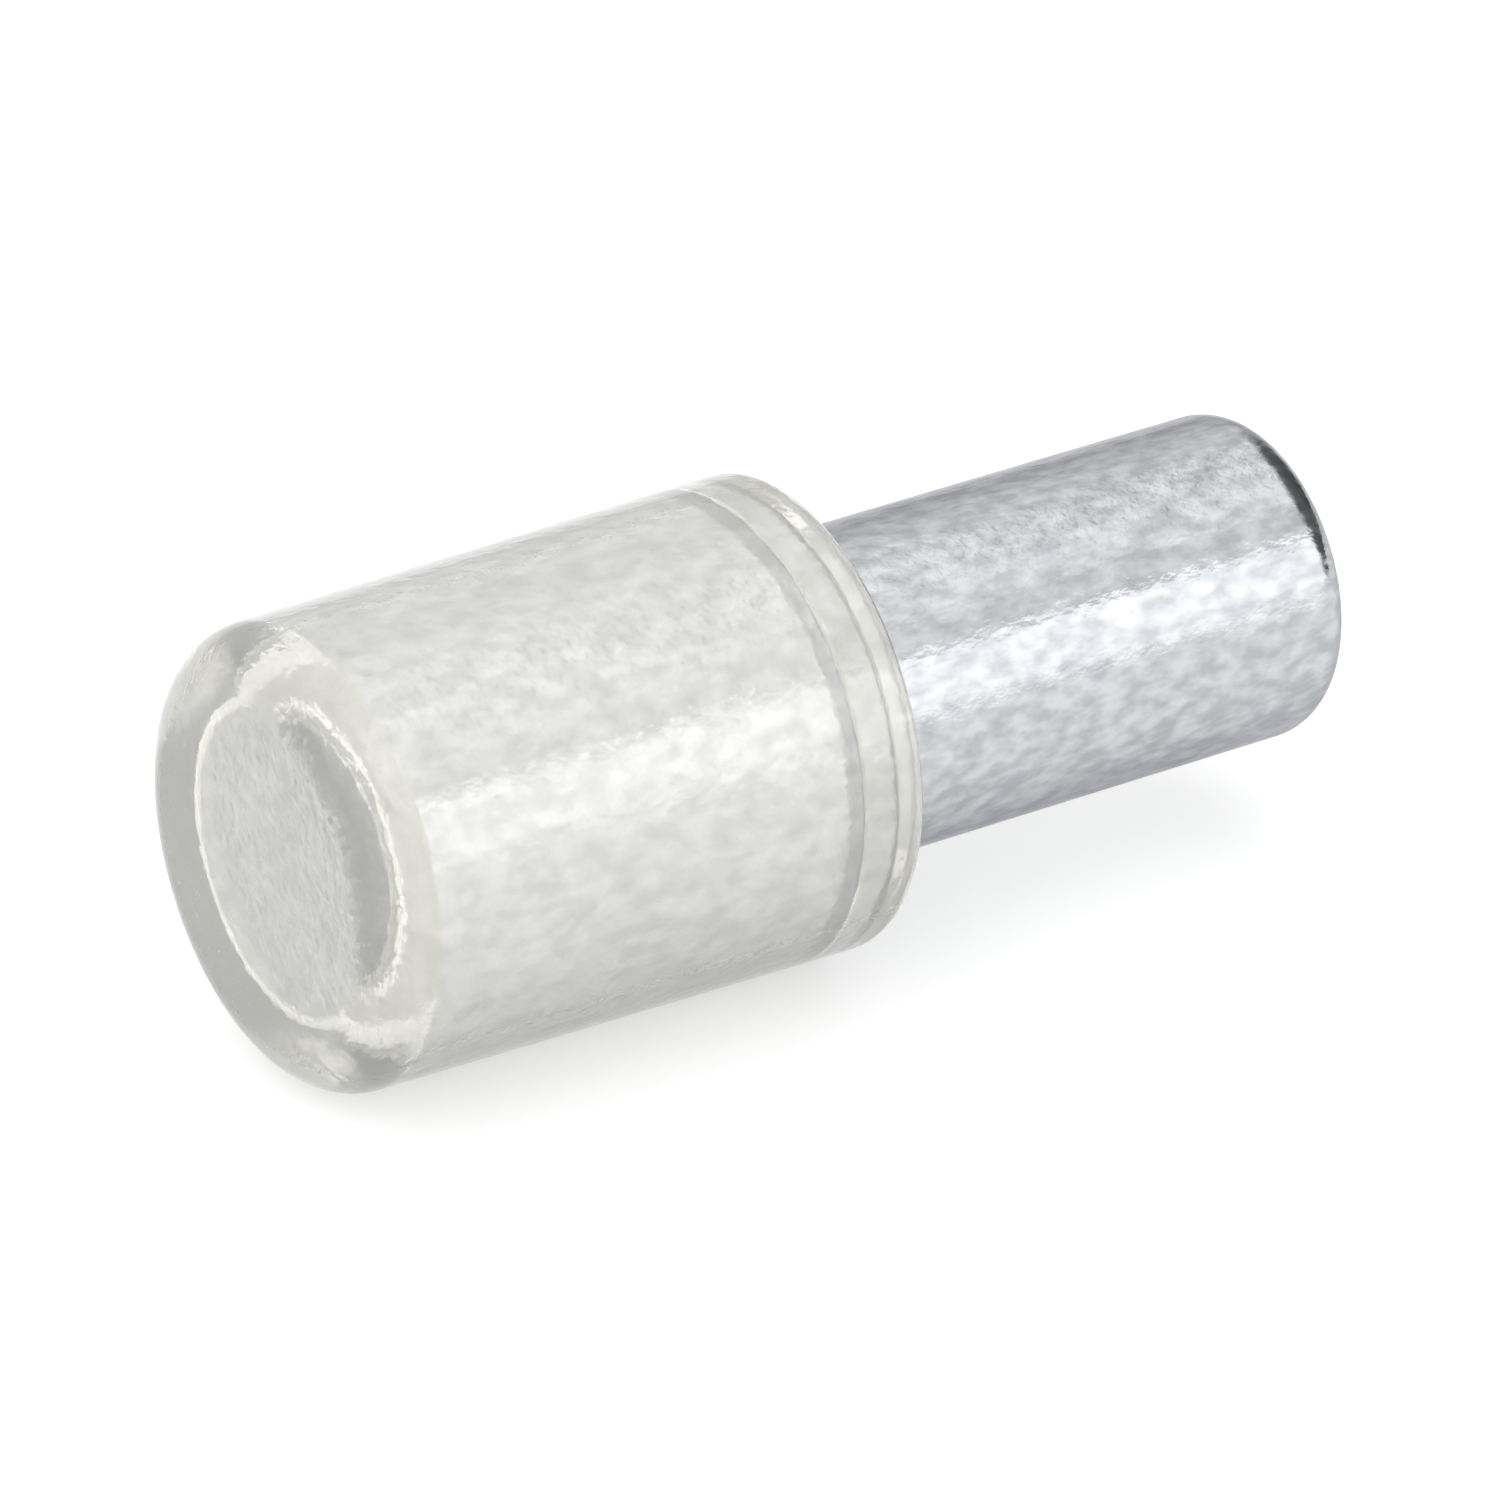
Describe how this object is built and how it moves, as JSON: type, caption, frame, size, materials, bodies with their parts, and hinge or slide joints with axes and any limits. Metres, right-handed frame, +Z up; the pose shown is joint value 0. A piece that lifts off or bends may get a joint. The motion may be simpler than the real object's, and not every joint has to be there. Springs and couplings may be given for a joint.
{
  "type": "shelf support pin",
  "caption": "Round steel shelf support pin with a rounded bare peg for a drilled hole and a clear plastic sheath over its other end.",
  "frame": {"origin": "on the pin's axis at the panel's face, where the sheath ends and the bare peg begins", "axes": "+X along the axis towards the peg's free end, into the panel; +Z up as the pin is used, with the shelf on top of the sheath; +Y across"},
  "size_m": [0.0176, 0.0072, 0.0072],
  "materials": {
    "zinc_plated_steel": "bright zinc plating over turned steel",
    "clear_plastic": "moulded soft plastic, clear with a faint milky tint"
  },
  "bodies": {
    "root": {"steel_pin": "zinc_plated_steel", "plastic_sheath": "clear_plastic"}
  },
  "joints": []
}
